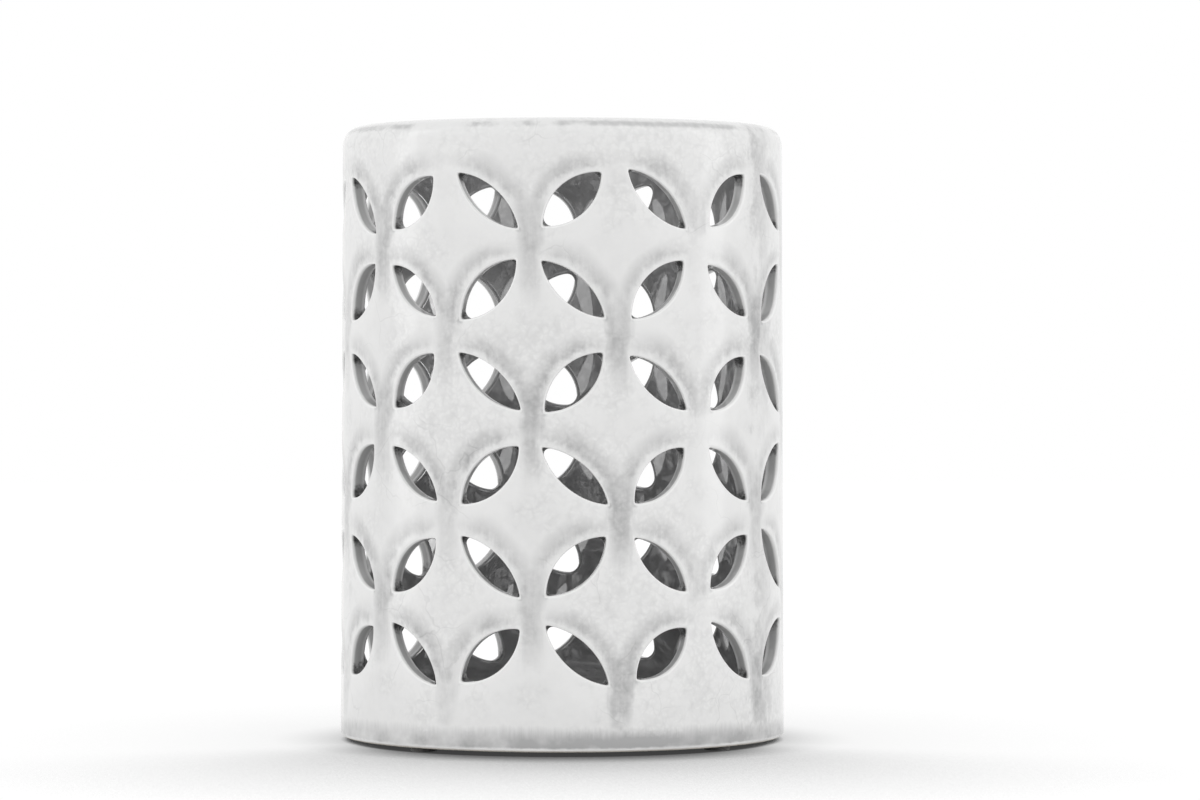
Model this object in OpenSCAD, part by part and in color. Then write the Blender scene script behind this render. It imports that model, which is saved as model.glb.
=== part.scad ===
// Umbrella stand: a glazed stoneware cylinder, open at the top and pierced all round
// with pointed oval cuts that lean to and fro, standing on four felt pads.
// Millimetres, +Z up, with the floor at z = 0 and the axis of the body on Z.

/* [Body] */
// Height from the floor to the top of the rim
stand_height = 381; // [330:1:460]
// Outer radius at the foot
foot_radius = 138; // [130:0.5:170]
// How much less that radius is at the height of the rim
draft = 1.2; // [0:0.1:5]
// Thickness of the pierced wall
wall = 9; // [7:0.5:12]
// Rounding of the shoulder
shoulder_round = 12; // [8:0.5:16]
// Rounding of the bottom edge
foot_round = 3; // [1:0.5:6]

/* [Rim] */
// Radius of the mouth
mouth_radius = 112; // [95:0.5:118]
// Thickness of the rim, where it turns in
rim_thickness = 9; // [7:0.5:12]
// Rounding inside, where the rim meets the wall
rim_fillet = 5; // [2:0.5:8]

/* [Base] */
// Thickness of the floor
floor_thickness = 11; // [8:0.5:16]
// Rounding inside, where the floor meets the wall
floor_fillet = 9; // [4:0.5:14]
// Width of the flat ring that the body stands on
foot_ring = 19; // [14:0.5:30]
// Depth of the hollow inside that ring
foot_hollow = 4; // [2:0.5:8]

/* [Piercing] */
// Cuts in one row, an even number
columns = 16; // [10:2:18]
// Rows of cuts
rows = 6; // [3:1:6]
// Height of the closed band at the foot
foot_band = 29.6; // [25:0.1:45]
// Height of the closed band at the rim
rim_band = 22.3; // [18:0.1:35]
// Length of a cut, from tip to tip
cut_length = 48.4; // [30:0.1:52]
// Width of a cut across its middle
cut_width = 20.6; // [12:0.1:24]
// How much shorter the cuts that lean right are than those that lean left
length_bias = 2.2; // [0:0.1:4]
// How much wider they are
width_bias = 4.3; // [0:0.1:6]
// Lean of a cut from the level, in degrees
cut_lean = 43.2; // [35:0.1:55]
// How far the hand strays along the row when it marks a cut
stray_across = 2; // [0:0.1:3]
// How far it strays up and down
stray_up = 1.2; // [0:0.1:2]
// How far the lean of a cut strays, in degrees
stray_lean = 2.6; // [0:0.1:4]
// How far the length of a cut strays
stray_length = 2.8; // [0:0.1:4]
// How far the width of a cut strays
stray_width = 1.8; // [0:0.1:3]

/* [Pads] */
// Diameter of a felt pad
pad_diameter = 16; // [10:0.5:19]
// Thickness of a felt pad
pad_thickness = 2.5; // [1.5:0.1:5]
// Bevel round the lower edge of a pad
pad_bevel = 0.5; // [0.2:0.1:1]

/* [Hidden] */
$fn = 96;

// Spare length that carries a cut clear of the surface it leaves
past = 2;
pads = 4;

body_bottom = pad_thickness;
hollow_top = body_bottom + foot_hollow;
floor_top = hollow_top + floor_thickness;
ceiling = stand_height - rim_thickness;
slope = draft / (stand_height - body_bottom);
outward = [cos(atan(slope)), sin(atan(slope))];

ring_outer = foot_radius - foot_round;
ring_inner = ring_outer - foot_ring;
pad_circle = (ring_outer + ring_inner) / 2;

front = -90;
column_pitch = 360 / columns;
row_pitch = (stand_height - rim_band - body_bottom - foot_band) / rows;
hand_across = [20, 20, 141];
hand_up = [22, 281, 52];
hand_lean = [208, 140, 9];
hand_length = [238, 24, 59];
hand_width = [22.5, 0, -90];
// The longest that a cut can be
longest_cut = cut_length + length_bias / 2 + stray_length;
// How far the round wall falls away behind the tips of a cut
cut_drop = foot_radius - sqrt(pow(foot_radius, 2) - pow(longest_cut / 2, 2));
cut_reach = past + draft + cut_drop + wall + past;

// Outer radius of the body at a height
function body_radius(z) = foot_radius - slope * (z - body_bottom);

// Centre of a rounding of that radius, at a height, against a wall set in from the outside
function rounding_centre(z, inset, radius) = [body_radius(z) - inset - radius / outward.x, z];

// A number from -1 to 1 that differs from cut to cut, as a hand wanders: its steps, in
// degrees, are from one column to the next and from one row to the next, and its start
function wander(hand, column, row) = sin(hand[0] * column + hand[1] * row + hand[2]);

// Half section between two levels, set in from the outside, with its outer corners rounded
module half_section(bottom, top, inset, low_round, high_round) {
    low = rounding_centre(bottom + low_round, inset, low_round);
    high = rounding_centre(top - high_round, inset, high_round);
    polygon([
        [0, bottom], [low.x, bottom], low + low_round * outward,
        high + high_round * outward, [high.x, top], [0, top]
    ]);
    translate(low) circle(low_round);
    translate(high) circle(high_round);
}

// Half section of the hollow underneath, with a 45 degree edge
module underside_section() {
    polygon([
        [0, body_bottom - past], [ring_inner + past, body_bottom - past],
        [ring_inner - foot_hollow, hollow_top], [0, hollow_top]
    ]);
}

// Half section of the body before it is pierced: wall, floor, foot ring and turned-in rim
module body_section() {
    nose = rim_thickness / 2;
    difference() {
        half_section(body_bottom, stand_height, 0, foot_round, shoulder_round);
        half_section(floor_top, ceiling, wall, floor_fillet, rim_fillet);
        translate([0, ceiling - past]) square([mouth_radius + nose, rim_thickness + 2 * past]);
        underside_section();
    }
    translate([mouth_radius + nose, ceiling + nose]) circle(nose);
}

// One pointed oval cutter along X, long on Y, made of two arcs that meet at its tips
module cutter(length, width) {
    bow = (pow(length, 2) + pow(width, 2)) / (4 * width);
    lift = bow - width / 2;
    translate([foot_radius + past, 0, 0])
        rotate([90, 0, -90])
            linear_extrude(cut_reach)
                intersection() {
                    translate([0, lift]) circle(bow, $fn = 180);
                    translate([0, -lift]) circle(bow, $fn = 180);
                }
}

// All the cuts: neighbours lean opposite ways, along the row and up the column
module piercing() {
    for (row = [0:rows - 1], column = [0:columns - 1]) {
        side = (row + column) % 2 == 1 ? 1 : -1;
        lean = cut_lean + stray_lean * wander(hand_lean, column, row);
        length = cut_length - side * length_bias / 2 + stray_length * wander(hand_length, column, row);
        width = cut_width + side * width_bias / 2 + stray_width * wander(hand_width, column, row);
        up = stray_up * wander(hand_up, column, row);
        across = stray_across * wander(hand_across, column, row) / foot_radius * 180 / PI;
        rotate([0, 0, front + column * column_pitch + across])
            translate([0, 0, body_bottom + foot_band + (row + 0.5) * row_pitch + up])
                rotate([side * lean, 0, 0])
                    cutter(length, width);
    }
}

module vessel() {
    color([0.84, 0.84, 0.82]) difference() {
        rotate_extrude($fn = 180) body_section();
        piercing();
    }
}

// Felt pad under the foot ring, with its lower edge bevelled
module foot_pad(place) {
    pad_radius = pad_diameter / 2;
    color([0.3, 0.29, 0.28])
        rotate([0, 0, front + (place - 0.5) * 360 / pads])
            translate([pad_circle, 0, 0])
                rotate_extrude() polygon([
                    [0, 0], [pad_radius - pad_bevel, 0], [pad_radius, pad_bevel],
                    [pad_radius, pad_thickness], [0, pad_thickness]
                ]);
}

vessel();
foot_pad(1);  // foot_pad_1
foot_pad(2);  // foot_pad_2
foot_pad(3);  // foot_pad_3
foot_pad(4);  // foot_pad_4
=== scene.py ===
import math
import bmesh
import bpy
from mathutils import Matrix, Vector, noise


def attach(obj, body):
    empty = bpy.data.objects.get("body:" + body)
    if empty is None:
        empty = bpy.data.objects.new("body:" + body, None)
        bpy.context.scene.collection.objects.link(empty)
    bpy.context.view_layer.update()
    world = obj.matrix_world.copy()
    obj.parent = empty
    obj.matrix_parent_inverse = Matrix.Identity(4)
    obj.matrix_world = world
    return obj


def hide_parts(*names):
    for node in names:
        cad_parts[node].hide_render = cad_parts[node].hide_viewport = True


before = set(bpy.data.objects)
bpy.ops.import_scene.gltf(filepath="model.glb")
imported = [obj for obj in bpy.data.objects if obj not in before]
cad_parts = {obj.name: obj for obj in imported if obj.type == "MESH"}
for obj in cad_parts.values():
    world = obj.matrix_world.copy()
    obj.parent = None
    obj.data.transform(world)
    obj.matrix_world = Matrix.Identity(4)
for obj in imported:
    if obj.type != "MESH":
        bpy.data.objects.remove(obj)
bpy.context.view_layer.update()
scene = bpy.context.scene
scene.view_settings.view_transform = "Standard"
mm = 0.001
print("frame loaded:", ", ".join(sorted(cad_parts)))


class Amount:  # a number inside a node tree, so that a rule can be written as plain arithmetic

    def __init__(self, tree, socket):
        self.tree = tree
        self.socket = socket

    def join(self, kind, places, **settings):
        node = self.tree.nodes.new(kind)
        for name, value in settings.items():
            setattr(node, name, value)
        for place, value in enumerate(places):
            if isinstance(value, Amount):
                self.tree.links.new(value.socket, node.inputs[place])
            else:
                node.inputs[place].default_value = value
        return Amount(self.tree, node.outputs[0])

    def math(self, operation, *others):
        return self.join("ShaderNodeMath", (self,) + others, operation=operation)

    def __add__(self, other):
        return self.math("ADD", other)

    def __sub__(self, other):
        return self.math("SUBTRACT", other)

    def __mul__(self, other):
        return self.math("MULTIPLY", other)

    def __truediv__(self, other):
        return self.math("DIVIDE", other)

    def __neg__(self):
        return self * -1

    def __rsub__(self, other):
        return -self + other

    __radd__ = __add__
    __rmul__ = __mul__

    def towards(self, other, share):  # self at share 0, other at share 1
        return self + (other - self) * share

    def rise(self, start, end):  # 0 at start, 1 at end, and smooth between them, either way round
        return self.join("ShaderNodeMapRange", (self, start, end), interpolation_type="SMOOTHSTEP")

    def cos(self):
        return self.math("COSINE")

    def sin(self):
        return self.math("SINE")

    def size(self):
        return self.math("ABSOLUTE")


def addNode(tree, kind, wires=None, **settings):
    node = tree.nodes.new(kind)
    for name, value in settings.items():
        setattr(node, name, value)
    for name, value in (wires or {}).items():
        if isinstance(value, Amount):
            value = value.socket
        if isinstance(value, bpy.types.NodeSocket):
            tree.links.new(value, node.inputs[name])
        else:
            node.inputs[name].default_value = value
    return node


def splitVector(tree, socket):
    parts = addNode(tree, "ShaderNodeSeparateXYZ", {"Vector": socket})
    return [Amount(tree, part) for part in parts.outputs]


vessel = {  # millimetres
    "top": 381, "bottom": 2.5,
    "footRadius": 138, "draft": 1.2, "wall": 9,
    "shoulderRound": 12, "footRound": 3,
    "mouthRadius": 112, "rimThickness": 9, "rimFillet": 5,
    "floorThickness": 11, "floorFillet": 9, "footRing": 19, "footHollow": 4,
}
lattice = {  # millimetres and degrees
    "columns": 16, "rows": 6, "footBand": 29.6, "rimBand": 22.3,
    "cutLength": 48.4, "cutWidth": 20.6, "cutLean": 43.2,
    "lengthBias": 2.2, "widthBias": 4.3,  # a cut that leans right is this much shorter and wider
    "outerEase": 1.7, "innerEase": 1.2, "outerTip": 1.2, "innerTip": 5,
    "stepsPerSide": 12,  # faces along each side of a cell
    "mergeWithin": 0.01,
    "strayAcross": 2, "strayUp": 1.2, "strayLean": 2.6, "strayLength": 2.8, "strayWidth": 1.8,
    "handAcross": (20, 20, 141), "handUp": (22, 281, 52),
    "handLean": (208, 140, 9), "handLength": (238, 24, 59), "handWidth": (22.5, 0, -90),
}
slope = vessel["draft"] / (vessel["top"] - vessel["bottom"])
latticeFoot = vessel["bottom"] + lattice["footBand"]
latticeTop = vessel["top"] - lattice["rimBand"]
cellHigh = (latticeTop - latticeFoot) / lattice["rows"]
cellWide = 2 * math.pi * vessel["footRadius"] / lattice["columns"]
bow = (lattice["cutLength"] ** 2 + lattice["cutWidth"] ** 2) / (4 * lattice["cutWidth"])
lift = bow - lattice["cutWidth"] / 2
lean = math.radians(lattice["cutLean"])


def bodyRadius(height):
    return vessel["footRadius"] - slope * (height - vessel["bottom"])


def arc(acrossCentre, upCentre, radius, start, end, steps):
    turns = [math.radians(start + (end - start) * k / steps) for k in range(steps + 1)]
    return [(acrossCentre + radius * math.cos(t), upCentre + radius * math.sin(t)) for t in turns]


def ovalPoint(grow, turn, blunt):  # a point of the pointed oval, grown outwards, its tips blunted by glaze
    upper = turn <= 0.5  # turn goes from 0 to 1 round the oval, from its upper tip
    share = 1 - 4 * turn if upper else 4 * turn - 3
    share = share * 1.22 - 0.22 * share ** 3  # closer together towards the tips
    radius = bow + grow
    angle = math.acos(lift / radius) * share
    tipMiddle = math.sqrt((radius - blunt) ** 2 - lift ** 2)
    tipStart = math.asin(tipMiddle / (radius - blunt))
    if abs(angle) <= tipStart:
        a, b = radius * math.sin(angle), radius * math.cos(angle) - lift
    else:
        past = (abs(angle) - tipStart) / (math.acos(lift / radius) - tipStart)
        bend = tipStart + (math.pi / 2 - tipStart) * past
        a, b = math.copysign(tipMiddle + blunt * math.sin(bend), angle), blunt * math.cos(bend)
    if not upper:
        b = -b
    return a * math.cos(lean) - b * math.sin(lean), a * math.sin(lean) + b * math.cos(lean)


def sidePoint(turn):  # the matching point of the cell's outline, from its upper right corner
    lap = 8 * turn
    across = max(-1, min(1, abs(lap - 3) - 2))
    up = max(-1, min(1, abs(lap - 5) - 2))
    return across * cellWide / 2, up * cellHigh / 2


def meshObject(name, points, faces, values):
    mesh = bpy.data.meshes.new(name)
    mesh.from_pydata(points, [], faces)
    for label, numbers in values.items():
        mesh.attributes.new(label, "FLOAT", "POINT").data.foreach_set("value", numbers)
    piece = bpy.data.objects.new(name, mesh)
    scene.collection.objects.link(piece)
    return piece


def petalCell():  # one cell of the wall with its pointed oval: across, depth below the outside, up
    outer, inner, wall = lattice["outerEase"], lattice["innerEase"], vessel["wall"]
    sharp, blunt = lattice["outerTip"], lattice["innerTip"]
    # each ring has its share of the way out to the cell's sides, growth, depth, zone and tip radius
    rings = [(share, outer, 0, 0, sharp) for share in (1, 0.7, 0.42, 0.18, 0.04)]
    for k in range(5):
        t = math.radians(90 * k / 4)
        rings.append((0, outer * (1 - math.sin(t)), outer * (1 - math.cos(t)), 0.05 * k, sharp))
    rings.append((0, 0, wall / 2, 0.5, blunt))
    for k in range(4):
        t = math.radians(90 * k / 3)
        rings.append((0, inner * (1 - math.cos(t)), wall - inner * (1 - math.sin(t)), 0.7 + 0.1 * k, blunt))
    rings += [(share, inner, wall, 1, blunt) for share in (0.06, 0.35, 0.7, 1)]
    around = 4 * lattice["stepsPerSide"]
    points, loose, zones = [], [], []
    for share, grow, depth, zone, tip in rings:
        for k in range(around):
            oval, side = ovalPoint(grow, k / around, tip), sidePoint(k / around)
            points.append((
                oval[0] + (side[0] - oval[0]) * share, depth, oval[1] + (side[1] - oval[1]) * share,
            ))
            loose.append(1 - share)
            zones.append(zone)
    faces = []
    for low in range(0, around * (len(rings) - 1), around):
        high = low + around
        for k in range(around):
            after = (k + 1) % around
            faces.append((low + k, low + after, high + after, high + k))
    return meshObject("petalCell", points, faces, {"loose": loose, "zone": zones})


def strips(name, middle, chains):  # plain bands, from chains of radius, height and zone
    steps = lattice["stepsPerSide"]
    points, zones, faces = [], [], []
    for chain in chains:
        first = len(points)
        for radius, height, zone in chain:
            for k in range(steps + 1):
                points.append((cellWide * (k / steps - 0.5), bodyRadius(height) - radius, height - middle))
                zones.append(zone)
        for c in range(len(chain) - 1):
            for k in range(steps):
                at = first + c * (steps + 1) + k
                faces.append((at, at + 1, at + steps + 2, at + steps + 1))
    return meshObject(name, points, faces, {"zone": zones})


def shoulderBand():
    nose = vessel["rimThickness"] / 2
    ceiling = vessel["top"] - vessel["rimThickness"]
    inside = bodyRadius(ceiling) - vessel["wall"]
    turn = vessel["shoulderRound"]
    fillet = vessel["rimFillet"]
    chain = [(bodyRadius(latticeTop), latticeTop, 0), (bodyRadius(latticeTop + 5), latticeTop + 5, 0)]
    chain += [(*p, 0) for p in arc(bodyRadius(vessel["top"]) - turn, vessel["top"] - turn, turn, 0, 90, 12)]
    flat = bodyRadius(vessel["top"]) - turn
    chain += [(flat + (vessel["mouthRadius"] + nose - flat) * s, vessel["top"], 0) for s in (0.3, 0.7)]
    lip = arc(vessel["mouthRadius"] + nose, vessel["top"] - nose, nose, 90, 270, 10)
    chain += [(*p, 0.1 * k) for k, p in enumerate(lip)]
    chain += [(*p, 1) for p in arc(inside - fillet, ceiling - fillet, fillet, 90, 0, 6)]
    chain += [(bodyRadius(latticeTop) - vessel["wall"], latticeTop, 1)]
    return strips("shoulderBand", latticeTop - cellHigh / 2, [chain])


def footBand():
    floorTop = vessel["bottom"] + vessel["footHollow"] + vessel["floorThickness"]
    hollowTop = vessel["bottom"] + vessel["footHollow"]
    inside = bodyRadius(floorTop) - vessel["wall"]
    fillet = vessel["floorFillet"]
    turn = vessel["footRound"]
    ringOuter = vessel["footRadius"] - turn
    ringInner = ringOuter - vessel["footRing"]
    inner = [(bodyRadius(latticeFoot) - vessel["wall"], latticeFoot, 1)]
    inner += [(*p, 1) for p in arc(inside - fillet, floorTop + fillet, fillet, 0, -90, 8)]
    inner += [(radius, floorTop, 1) for radius in (95, 62, 30, 0)]
    outer = [(radius, hollowTop, -1) for radius in (0, 40, 78, ringInner - vessel["footHollow"] - 1)]
    outer += [(ringInner - vessel["footHollow"], hollowTop, -1), (ringInner, vessel["bottom"], -1)]
    outer += [(ringInner + 1, vessel["bottom"], -1), (ringOuter - 1, vessel["bottom"], -1)]
    roundedFoot = arc(ringOuter, vessel["bottom"] + turn, turn, -90, 0, 6)
    outer += [(*p, (k - 6) / 6) for k, p in enumerate(roundedFoot)]
    outer += [(bodyRadius(h), h, 0) for h in (9, 14, 20, 26, latticeFoot)]
    return strips("footBand", latticeFoot + cellHigh / 2, [inner, outer])


def latticeTree():
    tree = bpy.data.node_groups.new("pierced wall", "GeometryNodeTree")
    face = tree.interface
    face.new_socket("Geometry", in_out="INPUT", socket_type="NodeSocketGeometry")
    face.new_socket("Geometry", in_out="OUTPUT", socket_type="NodeSocketGeometry")
    wanted = [
        ("Petal cell", "Object"), ("Shoulder band", "Object"), ("Foot band", "Object"),
        ("Glaze", "Material"), ("Liner", "Material"),
        ("Columns", "Int"), ("Rows", "Int"), ("Lowest row", "Float"), ("Cell height", "Float"),
        ("Foot radius", "Float"), ("Slope", "Float"), ("Body bottom", "Float"),
        ("Cut length", "Float"), ("Cut width", "Float"), ("Cut lean", "Float"),
        ("Length bias", "Float"), ("Width bias", "Float"),
        ("Stray across", "Float"), ("Stray up", "Float"), ("Stray lean", "Float"),
        ("Stray length", "Float"), ("Stray width", "Float"),
    ]
    for label, kind in wanted:
        face.new_socket(label, in_out="INPUT", socket_type="NodeSocket" + kind)
    source = tree.nodes.new("NodeGroupInput").outputs

    def given(label):
        return Amount(tree, source[label])

    def named(label, kind="FLOAT"):
        node = addNode(tree, "GeometryNodeInputNamedAttribute", {"Name": label}, data_type=kind)
        return node.outputs["Attribute"]

    def store(geometry, label, value, domain, kind="FLOAT"):
        node = addNode(tree, "GeometryNodeStoreNamedAttribute", data_type=kind, domain=domain)
        for name, wire in (("Geometry", geometry), ("Value", value)):
            tree.links.new(wire, node.inputs[name])
        node.inputs["Name"].default_value = label
        return node.outputs["Geometry"]

    # every cell is a point that knows its column and row
    grid = addNode(tree, "GeometryNodeMeshGrid", {
        "Size X": 0.0, "Size Y": 0.0, "Vertices X": given("Columns"), "Vertices Y": given("Rows"),
    }).outputs["Mesh"]
    index = Amount(tree, tree.nodes.new("GeometryNodeInputIndex").outputs[0])
    column = (index / given("Rows") + 0.001).math("FLOOR")
    row = index - column * given("Rows")
    cells = store(store(grid, "column", column.socket, "POINT"), "row", row.socket, "POINT")
    column, row = Amount(tree, named("column")), Amount(tree, named("row"))
    even = 1 - (column + row + 0.001).math("MODULO", 2).math("FLOOR")  # 1 where the oval leans to the left

    # the cell and its plain neighbours, each as it is and turned inside out for its mirror image
    join = tree.nodes.new("GeometryNodeJoinGeometry").inputs[0]
    lowest = row.math("LESS_THAN", 0.5)
    highest = row.math("GREATER_THAN", given("Rows") - 1.5)
    for label, chosen in (("Foot band", lowest), ("Petal cell", None), ("Shoulder band", highest)):
        shape = addNode(tree, "GeometryNodeObjectInfo", {"Object": source[label]}).outputs["Geometry"]
        place = tree.nodes.new("GeometryNodeInputPosition").outputs[0]
        shape = store(shape, "cell", place, "CORNER", "FLOAT_VECTOR")
        turned = addNode(tree, "GeometryNodeFlipFaces", {"Mesh": shape}).outputs[0]
        pair = tree.nodes.new("GeometryNodeJoinGeometry")
        for version in (turned, shape):  # joined from the last link to the first
            single = addNode(tree, "GeometryNodeGeometryToInstance", {"Geometry": version})
            tree.links.new(single.outputs[0], pair.inputs[0])
        copies = addNode(tree, "GeometryNodeInstanceOnPoints", {
            "Points": cells, "Instance": pair.outputs[0], "Pick Instance": True, "Instance Index": even,
        })
        if chosen:
            tree.links.new(chosen.socket, copies.inputs["Selection"])
        tree.links.new(copies.outputs[0], join)
    whole = addNode(tree, "GeometryNodeRealizeInstances", {"Geometry": join.node.outputs[0]}).outputs[0]

    # the cutting hand strays a little, and a cell is wrapped round the body with its oval cut straight in
    def stray(label, hand):
        angle = column * hand[0] + row * hand[1] + hand[2]
        return angle.math("RADIANS").sin() * given("Stray " + label)

    x, depth, z = splitVector(tree, named("cell", "FLOAT_VECTOR"))
    loose = Amount(tree, named("loose"))
    tilt = given("Cut lean").math("RADIANS")
    side = 1 - even * 2  # 1 where the oval leans right
    longer = stray("length", lattice["handLength"]) - side * given("Length bias") / 2
    wider = stray("width", lattice["handWidth"]) + side * given("Width bias") / 2
    along = (x * tilt.cos() + z * tilt.sin()) * (1 + longer / given("Cut length"))
    aside = (z * tilt.cos() - x * tilt.sin()) * (1 + wider / given("Cut width"))
    turned = tilt + stray("lean", lattice["handLean"]).math("RADIANS")
    cutX = along * turned.cos() - aside * turned.sin()
    cutZ = along * turned.sin() + aside * turned.cos() + stray("up", lattice["handUp"])
    height = z.towards(cutZ, loose) + given("Lowest row") + row * given("Cell height")
    radius = given("Foot radius") - (height - given("Body bottom")) * given("Slope") - depth
    plain = x / given("Foot radius") * side
    sideways = stray("across", lattice["handAcross"]) / given("Foot radius")
    straight = (cutX / radius).math("ARCSINE") * side + sideways
    angle = plain.towards(straight, loose) + column * 360 / given("Columns") * math.pi / 180
    spot = addNode(tree, "ShaderNodeCombineXYZ", {
        "X": radius * angle.sin() * mm, "Y": -radius * angle.cos() * mm, "Z": height * mm,
    }).outputs[0]
    placed = addNode(tree, "GeometryNodeSetPosition", {"Geometry": whole, "Position": spot}).outputs[0]
    closed = addNode(tree, "GeometryNodeMergeByDistance", {
        "Geometry": placed, "Distance": lattice["mergeWithin"] * mm,
    }).outputs[0]
    smooth = addNode(tree, "GeometryNodeSetShadeSmooth", {"Geometry": closed}).outputs[0]
    glazed = addNode(tree, "GeometryNodeSetMaterial", {
        "Geometry": smooth, "Material": source["Glaze"],
    }).outputs[0]
    lined = Amount(tree, named("zone")).math("GREATER_THAN", 0.97)
    done = addNode(tree, "GeometryNodeSetMaterial", {
        "Geometry": glazed, "Selection": lined, "Material": source["Liner"],
    }).outputs[0]
    tree.links.new(done, tree.nodes.new("NodeGroupOutput").inputs[0])
    return tree


def plainMesh(piece, name):  # the piece as its modifiers leave it, as a mesh of its own
    view = bpy.context.evaluated_depsgraph_get()
    mesh = bpy.data.meshes.new_from_object(piece.evaluated_get(view), depsgraph=view)
    mesh.name = name
    made = bpy.data.objects.new(name, mesh)
    scene.collection.objects.link(made)
    return made


glazeLook = {
    # the lip colour is a painted highlight, and the pooled grey also serves painted shade at the tips and a
    # painted dark reflection in one streak
    "white": (0.8, 0.8, 0.796, 1), "poolAndShadeGrey": (0.40, 0.40, 0.402, 1), "lip": (0.9, 0.9, 0.895, 1),
    # the cut walls' grey is partly painted shade in the recess, their inner edge colour a painted highlight,
    # and the near black of the tips painted shade
    "cutWall": (0.40, 0.40, 0.40, 1), "cutLipHighlight": (0.66, 0.66, 0.66, 1), "creaseShade": (0.04, 0.04, 0.04, 1),
    "clay": (0.56, 0.53, 0.48, 1), "grog": (0.40, 0.36, 0.31, 1), "liner": (0.32, 0.32, 0.322, 1),
    "roughness": 0.15, "clayRoughness": 0.75,
    # how much of the pooled grey, the painted shade and the painted highlights shows in each place
    "poolAbove": 0.55, "poolInRuns": 0.56, "poolAway": 0.11, "poolAtFoot": 0.95, "streak": 0.36,
    "shoulderLine": 0.5, "curds": 0.34, "specks": 0.15, "crazing": 0.16, "tipShading": 0.45, "edgeHighlight": 0.7,
    # millimetres from an oval where its pool starts and ends, and where the plain wall turns greyer
    "poolStart": (0.5, 6.5), "poolEnd": (19, 6), "farAway": (1, 22),
    # degrees from the front, and again from the back, where the lamps' painted highlights lighten the runs,
    # where the glaze ran more, and where a streak runs that is partly glaze and partly a painted dark
    # reflection
    "leftLampHighlight": -35, "ranMore": 12, "rightLampHighlight": 37, "streakAt": 59, "streakWide": (9, 1),
    # millimetres off a run's middle, above the meeting tips and below them, where it has faded and is full
    "runAcrossAbove": (11.5, 3.5), "runAcross": (11, 2.5),
    "runAbove": (34, 22), "runBelow": (46, 6), "runIntoFoot": (-36, 4),
    # heights where the band at the foot, its lip and the line along the shoulder have faded and are full
    "footTop": (20, 8), "footBottom": (3.4, 5.8), "footLipHighlight": (5.6, 3.8),
    "shoulderLow": (374.5, 377), "shoulderHigh": (379.6, 377.8),
    "reliefStrength": 0.3, "reliefDepth": 0.4,
}
glazeNoise = {  # scale per metre, detail and roughness
    "broad": (9, 1), "cloud": (38, 4, 0.6), "ragged": (150, 4, 0.62), "grit": (620, 3, 0.6),
    "grains": (1400, 2, 0.6), "crazedPatches": (15, 2), "relief": (45, 2),
    "threads": (1, 4, 0.65), "threadStretch": (380, 380, 34),
    # scale of the curds and cracks, and how the place is shifted for them
    "curds": 290.0, "curdShift": (160, 0.009), "cracks": 24.0, "crackShift": (55, 0.014),
}


def shaderTree(name):
    material = bpy.data.materials.new(name)
    material.use_nodes = True
    material.node_tree.nodes.clear()
    return material, material.node_tree


def noiseValue(tree, vector, scale, detail=2.0, roughness=0.5):
    node = addNode(tree, "ShaderNodeTexNoise", {
        "Vector": vector, "Scale": scale, "Detail": detail, "Roughness": roughness,
    })
    return Amount(tree, node.outputs["Fac"])


def mixColour(tree, share, first, second):
    node = tree.nodes.new("ShaderNodeMix")
    node.data_type = "RGBA"
    for place, value in ((0, share), (6, first), (7, second)):
        if isinstance(value, Amount):
            value = value.socket
        if isinstance(value, bpy.types.NodeSocket):
            tree.links.new(value, node.inputs[place])
        else:
            node.inputs[place].default_value = value
    return node.outputs[2]


def stretched(tree, vector, scale):
    return addNode(tree, "ShaderNodeMapping", {"Vector": vector, "Scale": scale}).outputs[0]


def shifted(tree, vector, scale, reach):  # the place moved about by noise, by up to half the reach in metres
    node = addNode(tree, "ShaderNodeTexNoise", {"Vector": vector, "Scale": scale, "Detail": 2.0})
    return addNode(tree, "ShaderNodeVectorMath", {
        0: node.outputs["Color"], 1: (reach, reach, reach), 2: vector,
    }, operation="MULTIPLY_ADD").outputs[0]


def clamp(amount):
    return amount.math("MAXIMUM", 0).math("MINIMUM", 1)


def finishShader(tree, shader, relief, strength, depth):  # depth in millimetres
    bump = addNode(tree, "ShaderNodeBump", {"Strength": strength, "Distance": depth * mm, "Height": relief})
    tree.links.new(bump.outputs[0], shader.inputs["Normal"])
    tree.links.new(shader.outputs[0], tree.nodes.new("ShaderNodeOutputMaterial").inputs["Surface"])


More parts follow.
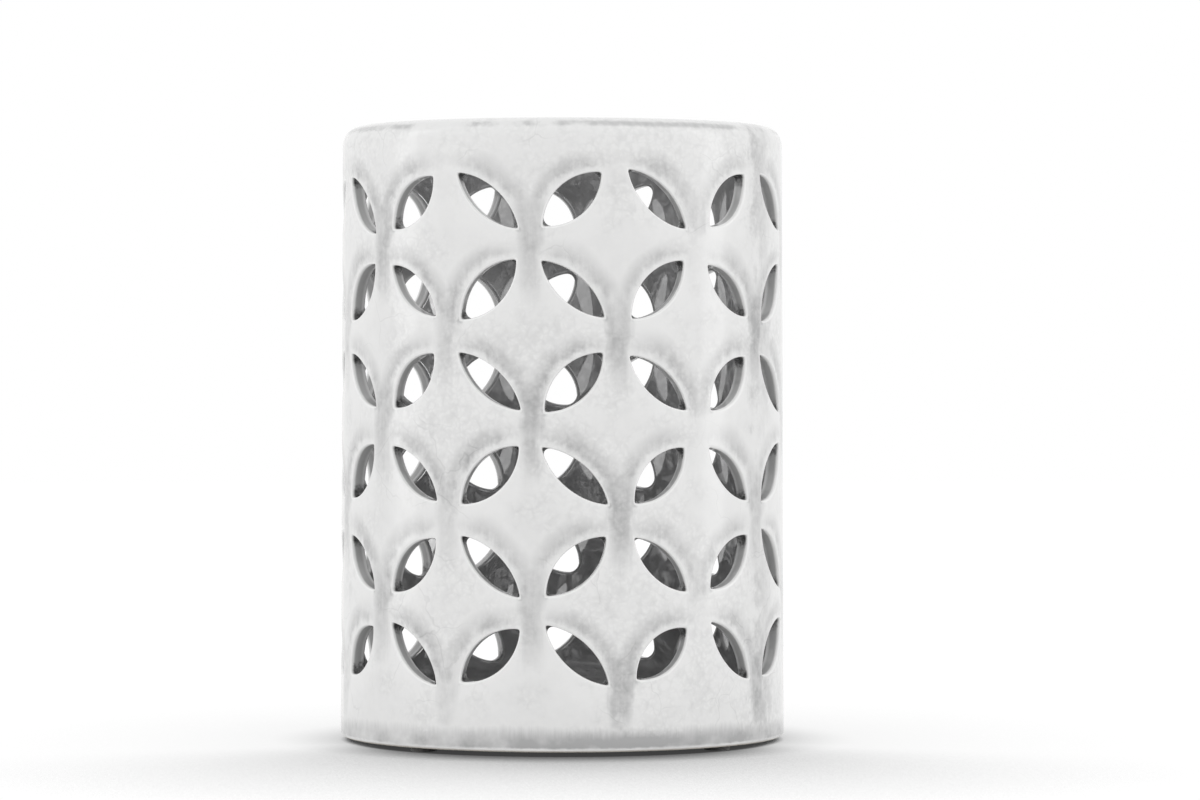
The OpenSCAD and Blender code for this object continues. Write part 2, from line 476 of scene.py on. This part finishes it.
def glazeMaterial():
    material, tree = shaderTree("whiteGlaze")
    place = tree.nodes.new("ShaderNodeTexCoord").outputs["Object"]
    right, back, up = splitVector(tree, place)
    height = up * 1000
    fromFront = (right / -back).math("ARCTANGENT") * 180 / math.pi
    cell = addNode(tree, "ShaderNodeAttribute", attribute_name="cell").outputs["Vector"]
    cellPlace = splitVector(tree, cell)
    x, z = cellPlace[0], cellPlace[2]
    zone = Amount(tree, addNode(tree, "ShaderNodeAttribute", attribute_name="zone").outputs["Fac"])
    broad = noiseValue(tree, place, *glazeNoise["broad"]) - 0.5
    cloud = noiseValue(tree, place, *glazeNoise["cloud"]) - 0.5  # patches of two or three centimetres
    ragged = noiseValue(tree, place, *glazeNoise["ragged"]) - 0.5
    grit = noiseValue(tree, place, *glazeNoise["grit"]) - 0.5
    drawn = stretched(tree, place, glazeNoise["threadStretch"])
    threads = noiseValue(tree, drawn, *glazeNoise["threads"]) - 0.5

    def ovalPlace(x, z):  # how far a point lies along an oval, across it, and outside its upper arc
        along = x * math.cos(lean) + z * math.sin(lean)
        aside = z * math.cos(lean) - x * math.sin(lean)
        above = (along * along + (aside + lift) * (aside + lift)).math("SQRT") - bow
        return along, aside, above

    def pool(x, z):  # glaze gathers above an oval, less towards its upper tip
        along, aside, above = ovalPlace(x, z)
        nearSide = above + ragged * 4 + cloud * 4 + threads * 2
        farSide = above + ragged * 6 + cloud * 7 + threads * 5
        ends = (aside + ragged * 4).rise(-8, 2) * (0.3 + 0.7 * (along + cloud * 16).rise(33, 13))
        ends = ends * z.rise(-cellHigh / 2, 14 - cellHigh / 2)
        return nearSide.rise(*glazeLook["poolStart"]) * farSide.rise(*glazeLook["poolEnd"]) * ends

    def onSide(middle, reach=11):  # 1 at this many degrees from the front, 0 beyond the reach
        return (fromFront - middle).size().rise(reach, reach * 0.35)

    # the pools above this oval, the one beside it and the one below it
    along, aside, above = ovalPlace(x, z)
    aboveFoot = height.rise(latticeFoot + cellHigh * 0.4, latticeFoot + cellHigh * 0.7)
    pools = pool(x, z).math("MAXIMUM", pool(-cellWide - x, z))
    pools = pools.math("MAXIMUM", pool(-x, z + cellHigh) * aboveFoot)
    pools = pools * (1 + cloud * 2.0 + ragged * 1.3 + threads * 0.8 + broad * 0.6)

    # runs of glaze past the places where four tips meet, weaker from the top row
    wobble = ragged * 3.5 + threads * 6 + broad * 3
    upper = cellHigh / 2 - z
    lower = z + cellHigh / 2
    topRow = height.rise(latticeTop - cellHigh * 0.8, latticeTop - cellHigh * 0.55)
    belowTop = height.rise(latticeTop + 4, latticeTop - 24) * (1 - 0.6 * topRow)
    upperRun = ((x - cellWide / 2).size() + wobble).rise(*glazeLook["runAcross"])
    upperRun = upperRun * (upper + threads * 12 + broad * 16).rise(*glazeLook["runBelow"]) * belowTop
    lowerRun = ((x + cellWide / 2).size() + wobble - lower * 0.08).rise(*glazeLook["runAcrossAbove"])
    lowerRun = lowerRun * (lower + ragged * 9).rise(*glazeLook["runAbove"])
    lowerRun = lowerRun * (lower + threads * 14 + broad * 24).rise(*glazeLook["runIntoFoot"])
    runs = upperRun.math("MAXIMUM", lowerRun)
    runs = runs * (1 + broad * 1.4 + cloud * 1.2 + ragged + threads * 0.6)

    # painted highlights lighten the runs and pools where the two lamps' reflections fall, the glaze ran more
    # on one side, and a streak from rim to foot is partly a glaze run and partly a painted dark reflection
    rightHighlight = onSide(glazeLook["rightLampHighlight"])
    pools = pools * (1 - 0.3 * rightHighlight)
    runs = runs * (
        1 - 0.4 * onSide(glazeLook["leftLampHighlight"]) + 0.1 * onSide(glazeLook["ranMore"])
        - 0.85 * rightHighlight + 0.25 * onSide(glazeLook["streakAt"])
    )
    # the streak, partly a glaze run and partly a painted dark reflection
    streak = (fromFront + cloud * 16 + ragged * 10 + threads * 5 - glazeLook["streakAt"]).size()
    streak = streak.rise(*glazeLook["streakWide"]) * (1 + broad * 2.5 + cloud * 3 + ragged)

    # fine mottling like curds, hairline crazing in a few places, and painted shade at the lower tips
    curds = addNode(tree, "ShaderNodeTexVoronoi", {
        "Vector": shifted(tree, place, *glazeNoise["curdShift"]),
        "Scale": glazeNoise["curds"], "Smoothness": 0.5,
    }, feature="SMOOTH_F1")
    curd = (Amount(tree, curds.outputs["Distance"]) - 0.4) * (cloud * 1.4 + broad).rise(-0.14, 0.16)
    cracks = addNode(tree, "ShaderNodeTexVoronoi", {
        "Vector": shifted(tree, place, *glazeNoise["crackShift"]), "Scale": glazeNoise["cracks"],
    }, feature="DISTANCE_TO_EDGE")
    crack = (Amount(tree, cracks.outputs["Distance"]) + ragged * 0.006).rise(0.011, 0.003)
    crack = crack * noiseValue(tree, place, *glazeNoise["crazedPatches"]).rise(0.52, 0.62)
    tip = lattice["cutLength"] / 2
    # painted shade just past the lower tip of each oval
    pastTip = along + tip + 0.5
    tipShade = (pastTip * pastTip + aside * aside).math("SQRT")
    tipShade = (tipShade + ragged * 5).rise(3.2, 0.8) * (cloud + ragged).rise(-0.1, 0.1)

    # a darker band where the glaze gathers at the foot, and a broken line along the shoulder
    foot = (height + threads * 6 + cloud * 9 + broad * 5).rise(*glazeLook["footTop"])
    foot = foot * (height + ragged * 1.2).rise(*glazeLook["footBottom"])
    foot = foot * (1.18 + cloud * 1.8 - (right - 0.03).size() * 3.2)
    edge = height + cloud * 2 + ragged
    broken = 0.12 + (broad * 1.5 + cloud).rise(-0.02, 0.16)
    shoulder = edge.rise(*glazeLook["shoulderLow"]) * edge.rise(*glazeLook["shoulderHigh"]) * broken
    under = (along * along + (aside - lift) * (aside - lift)).math("SQRT") - bow
    away = (above.math("MAXIMUM", under) + cloud * 14).rise(*glazeLook["farAway"])
    plain = away * (1 + cloud * 2) * (1 - 0.7 * height.rise(latticeTop - 12, latticeTop + 8))

    # the greatest of these greys holds, and the fine ones are added to it
    grey = pools * glazeLook["poolAbove"]
    for part, share in (
        (runs, "poolInRuns"), (plain, "poolAway"), (streak, "streak"), (foot, "poolAtFoot"),
    ):
        grey = grey.math("MAXIMUM", part * glazeLook[share])
    grey = grey + shoulder * glazeLook["shoulderLine"] + curd * glazeLook["curds"]
    grey = grey + ragged * glazeLook["specks"] + crack * glazeLook["crazing"] + tipShade * glazeLook["tipShading"]
    colour = mixColour(tree, clamp(grey), glazeLook["white"], glazeLook["poolAndShadeGrey"])

    # painted highlight along the lip of the foot and round the eased edges of the cuts, where they catch the
    # light
    inLattice = height.rise(latticeTop + 2, latticeTop)
    lip = (height + ragged * 1.6).rise(*glazeLook["footLipHighlight"]) * (0.55 - broad * 1.5 + cloud * 1.5)
    edgeHighlightMask = zone.rise(0.01, 0.07) * zone.rise(0.3, 0.2) * inLattice * glazeLook["edgeHighlight"]
    colour = mixColour(tree, clamp(lip.math("MAXIMUM", edgeHighlightMask)), colour, glazeLook["lip"])

    # the sides of a cut, in a grey that is partly painted shade in the recess, with a painted highlight
    # along its inner edge and painted shade in the creases at its tips, and bare clay underneath
    creaseShade = (along.size() + ragged * 7 + grit * 5).rise(tip - 6.5, tip - 1.2)
    sides = mixColour(tree, zone.rise(0.58, 0.7), glazeLook["cutWall"], glazeLook["cutLipHighlight"])
    sides = mixColour(tree, creaseShade, sides, glazeLook["creaseShade"])
    cut = (zone + creaseShade * 0.08).rise(0.19, 0.36) * inLattice
    colour = mixColour(tree, cut, colour, sides)
    colour = mixColour(tree, zone.rise(0.78, 0.95), colour, glazeLook["liner"])
    grains = noiseValue(tree, place, *glazeNoise["grains"]).rise(0.56, 0.68) * 0.7
    grains = grains + (cloud * 1.6 + ragged).rise(-0.3, 0.5) * 0.45
    clay = mixColour(tree, clamp(grains), glazeLook["clay"], glazeLook["grog"])
    bare = zone.rise(-0.3, -0.7)
    colour = mixColour(tree, bare, colour, clay)
    shader = addNode(tree, "ShaderNodeBsdfPrincipled", {
        "Base Color": colour,
        "Roughness": bare * (glazeLook["clayRoughness"] - glazeLook["roughness"]) + glazeLook["roughness"],
    })
    relief = noiseValue(tree, place, *glazeNoise["relief"]) + curd * 0.05 - crack * 0.06
    finishShader(tree, shader, relief, glazeLook["reliefStrength"], glazeLook["reliefDepth"])
    return material


linerLook = {
    "dark": 0.6, "light": 0.92,  # times the liner's colour
    "roughness": 0.08, "coatRoughness": 0.03, "coatIor": 2.8,
    "cloud": (30, 4, 0.6), "relief": (66, 1), "reliefStrength": 1.0, "reliefDepth": 1.8,
}


def linerMaterial():
    material, tree = shaderTree("greyLiner")
    place = tree.nodes.new("ShaderNodeTexCoord").outputs["Object"]
    cloud = noiseValue(tree, place, *linerLook["cloud"])
    dark = [part * linerLook["dark"] for part in glazeLook["liner"][:3]] + [1]
    light = [part * linerLook["light"] for part in glazeLook["liner"][:3]] + [1]
    shader = addNode(tree, "ShaderNodeBsdfPrincipled", {
        "Base Color": mixColour(tree, cloud.rise(0.3, 0.7), dark, light),
        "Roughness": linerLook["roughness"], "Specular IOR Level": 1.0, "Coat Weight": 1.0,
        "Coat Roughness": linerLook["coatRoughness"], "Coat IOR": linerLook["coatIor"],
    })
    relief = noiseValue(tree, place, *linerLook["relief"])
    finishShader(tree, shader, relief, linerLook["reliefStrength"], linerLook["reliefDepth"])
    return material


def makeVessel():
    shapes = [petalCell(), shoulderBand(), footBand()]
    base = meshObject("latticeBase", [(0, 0, 0)], [], {})
    tree = latticeTree()
    glaze = glazeMaterial()
    for shape in shapes:
        shape.data.materials.append(glaze)
    values = {
        "Petal cell": shapes[0], "Shoulder band": shapes[1], "Foot band": shapes[2],
        "Glaze": glaze, "Liner": linerMaterial(),
        "Columns": lattice["columns"], "Rows": lattice["rows"],
        "Lowest row": latticeFoot + cellHigh / 2, "Cell height": cellHigh,
        "Foot radius": float(vessel["footRadius"]), "Slope": slope, "Body bottom": vessel["bottom"],
        "Cut length": lattice["cutLength"], "Cut width": lattice["cutWidth"], "Cut lean": lattice["cutLean"],
        "Length bias": lattice["lengthBias"], "Width bias": lattice["widthBias"],
        "Stray across": float(lattice["strayAcross"]), "Stray up": lattice["strayUp"],
        "Stray lean": lattice["strayLean"],
        "Stray length": lattice["strayLength"], "Stray width": lattice["strayWidth"],
    }
    modifier = base.modifiers.new("pierced wall", "NODES")
    modifier.node_group = tree
    for socket in tree.interface.items_tree:
        if socket.in_out == "INPUT" and socket.name in values:
            modifier[socket.identifier] = values[socket.name]
    bpy.context.view_layer.update()
    made = plainMesh(base, "pierced_vessel")
    for spare in shapes + [base]:
        bpy.data.objects.remove(spare)
    for label in ("loose", "column", "row"):
        if label in made.data.attributes:
            made.data.attributes.remove(made.data.attributes[label])
    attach(made, "root")
    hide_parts("vessel")
    print("vessel:", len(made.data.polygons), "faces")
    return made


pads = {  # millimetres
    "count": 4, "diameter": 16, "thickness": 2.5, "bevel": 0.5, "circle": 125.5, "fuzz": 0.12, "steps": 48,
    "dark": (0.05, 0.05, 0.05, 1), "light": (0.14, 0.135, 0.13, 1), "roughness": 0.95, "sheen": 0.4,
    "fibres": (1800, 4, 0.75), "reliefStrength": 0.6, "reliefDepth": 0.2,
}


def feltMaterial():
    material, tree = shaderTree("pressedFelt")
    place = tree.nodes.new("ShaderNodeTexCoord").outputs["Object"]
    fibres = noiseValue(tree, place, *pads["fibres"])
    shader = addNode(tree, "ShaderNodeBsdfPrincipled", {
        "Base Color": mixColour(tree, fibres.rise(0.35, 0.75), pads["dark"], pads["light"]),
        "Roughness": pads["roughness"], "Sheen Weight": pads["sheen"], "Sheen Roughness": 0.5,
    })
    finishShader(tree, shader, fibres, pads["reliefStrength"], pads["reliefDepth"])
    return material


def makePad(place, felt):
    angle = math.radians(-90 + (place - 0.5) * 360 / pads["count"])
    middle = Vector((pads["circle"] * math.cos(angle), pads["circle"] * math.sin(angle), 0))
    radius, bevel, thick = pads["diameter"] / 2, pads["bevel"], pads["thickness"]
    section = [(0, 0), (radius * 0.35, 0), (radius * 0.7, 0), (radius - bevel, 0)]
    section += [(radius - bevel * 0.3, bevel * 0.3), (radius, bevel)]
    section += [(radius, thick * 0.45), (radius, thick * 0.75), (radius, thick)]
    section += [(radius * 0.7, thick), (radius * 0.35, thick), (0, thick)]
    form = bmesh.new()
    steps = pads["steps"]
    turns = [2 * math.pi * k / steps for k in range(steps)]
    rings = [[form.verts.new((r * math.cos(t), r * math.sin(t), h)) for t in turns] for r, h in section]
    for low, high in zip(rings, rings[1:]):
        for k in range(steps):
            form.faces.new((low[k], low[(k + 1) % steps], high[(k + 1) % steps], high[k]))
    bmesh.ops.remove_doubles(form, verts=form.verts, dist=0.001)
    bmesh.ops.recalc_face_normals(form, faces=form.faces)
    for vertex in form.verts:  # the cut edge of felt is a little uneven, and never stands proud of its size
        flat = Vector((vertex.co.x, vertex.co.y, 0))
        if flat.length > radius * 0.9:
            spot = Vector((vertex.co.x, vertex.co.y, vertex.co.z * 2 + place * 7)) * 1.3
            vertex.co -= flat.normalized() * pads["fuzz"] * (0.5 + 0.5 * noise.noise(spot))
        vertex.co = (vertex.co + middle) * mm
    mesh = bpy.data.meshes.new("felt_pad_%d" % place)
    form.to_mesh(mesh)
    form.free()
    mesh.shade_smooth()
    mesh.materials.append(felt)
    pad = bpy.data.objects.new("felt_pad_%d" % place, mesh)
    scene.collection.objects.link(pad)
    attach(pad, "root")
    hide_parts("foot_pad_%d" % place)


makeVessel()
felt = feltMaterial()
for place in range(1, pads["count"] + 1):
    makePad(place, felt)
print("pads:", pads["count"])

studio = {  # metres and degrees
    "world": 0.93, "worldAhead": 0.2, "floorSize": 12.0, "floorColour": (0.85, 0.85, 0.85, 1),
    "shadowReach": 0.4, "contactReach": 0.045,
    # the power of each shadow behind the object, and what is added to it in front
    "shadowPower": (0.35, 1.95), "contactPower": (0.4, 1.8), "shadeScale": 0.98, "shadeLift": 0.05,
    "boxes": {"leftBox": -86, "rightBox": 82}, "boxPower": 5.0,  # each lamp's turn from the camera
    "boxWide": 0.5, "boxHigh": 2.4, "boxAway": 1.9, "boxUp": 0.6,
    "cameraAngle": -93.2, "cameraDistance": 2.927, "cameraHeight": 0.2366,
    "lens": 140.77, "sensor": 36, "shiftX": 0.0314, "shiftY": -0.0341, "farClip": 50,
}
white = (1, 1, 1, 1)
towardsCamera = Vector((
    math.cos(math.radians(studio["cameraAngle"])), math.sin(math.radians(studio["cameraAngle"])), 0,
))


def seenPlain(tree):  # 1 where the camera, or gloss or glass, sees the white background itself
    rays = tree.nodes.new("ShaderNodeLightPath").outputs
    seen = Amount(tree, rays["Is Camera Ray"])
    for label in ("Is Glossy Ray", "Is Transmission Ray"):
        seen = seen.math("MAXIMUM", Amount(tree, rays[label]))
    return seen


def makeFloor():
    half = studio["floorSize"] / 2
    corners = [(-half, -half, 0), (half, -half, 0), (half, half, 0), (-half, half, 0)]
    floor = meshObject("floor", corners, [(0, 1, 2, 3)], {})
    material, tree = shaderTree("paleFloor")

    def openness(reach, samples):  # less than 1 where the object stands over the floor within this reach
        node = addNode(tree, "ShaderNodeAmbientOcclusion", {"Distance": reach}, samples=samples)
        return Amount(tree, node.outputs["AO"])

    plain = addNode(tree, "ShaderNodeBsdfDiffuse", {"Color": studio["floorColour"]}).outputs[0]
    shadow = openness(studio["shadowReach"], 4)
    contact = openness(studio["contactReach"], 8)
    x, y = splitVector(tree, tree.nodes.new("ShaderNodeTexCoord").outputs["Object"])[:2]
    ahead = (x * towardsCamera.x + y * towardsCamera.y) / (x * x + y * y).math("SQRT")
    before = ahead.rise(0.3, 1.05)  # the shadow is deeper in front than behind

    def deeper(amount, power):
        return amount.math("POWER", power[0] + power[1] * before)

    # the floor that the camera sees glows white, and the object's shadow is painted into that glow from the
    # occlusion, deeper in front
    shade = deeper(shadow, studio["shadowPower"]) * deeper(contact, studio["contactPower"])
    shade = shade * studio["shadeScale"] + studio["shadeLift"]
    shadowedGlow = addNode(tree, "ShaderNodeEmission", {"Color": white, "Strength": shade})
    choose = addNode(tree, "ShaderNodeMixShader", {"Fac": seenPlain(tree)})
    tree.links.new(plain, choose.inputs[1])
    tree.links.new(shadowedGlow.outputs[0], choose.inputs[2])
    tree.links.new(choose.outputs[0], tree.nodes.new("ShaderNodeOutputMaterial").inputs["Surface"])
    floor.data.materials.append(material)


def makeLights():
    world = bpy.data.worlds.new("studio")
    world.use_nodes = True
    tree = world.node_tree
    tree.nodes.clear()
    direction = splitVector(tree, tree.nodes.new("ShaderNodeTexCoord").outputs["Generated"])
    ahead = direction[0] * towardsCamera.x + direction[1] * towardsCamera.y
    light = studio["world"] + ahead * studio["worldAhead"]
    strength = light.towards(1, seenPlain(tree))
    sky = addNode(tree, "ShaderNodeBackground", {"Color": white, "Strength": strength})
    tree.links.new(sky.outputs[0], tree.nodes.new("ShaderNodeOutputWorld").inputs["Surface"])
    scene.world = world
    for name, turn in studio["boxes"].items():
        lamp = bpy.data.lights.new(name, "AREA")
        lamp.shape = "RECTANGLE"
        lamp.size, lamp.size_y = studio["boxWide"], studio["boxHigh"]
        lamp.energy = studio["boxPower"]
        box = bpy.data.objects.new(name, lamp)
        angle = math.radians(studio["cameraAngle"] + turn)
        away = studio["boxAway"]
        box.location = (away * math.cos(angle), away * math.sin(angle), studio["boxUp"])
        back = Vector((math.cos(angle), math.sin(angle), 0))
        box.rotation_euler = back.to_track_quat("Z", "Y").to_euler()
        scene.collection.objects.link(box)


def makeCamera():
    lens = bpy.data.cameras.new("camera")
    lens.lens, lens.sensor_width = studio["lens"], studio["sensor"]
    lens.shift_x, lens.shift_y = studio["shiftX"], studio["shiftY"]
    lens.clip_end = studio["farClip"]
    camera = bpy.data.objects.new("camera", lens)
    camera.location = towardsCamera * studio["cameraDistance"] + Vector((0, 0, studio["cameraHeight"]))
    camera.rotation_euler = towardsCamera.to_track_quat("Z", "Y").to_euler()
    scene.collection.objects.link(camera)
    scene.camera = camera


makeFloor()
makeLights()
makeCamera()
print("studio ready")
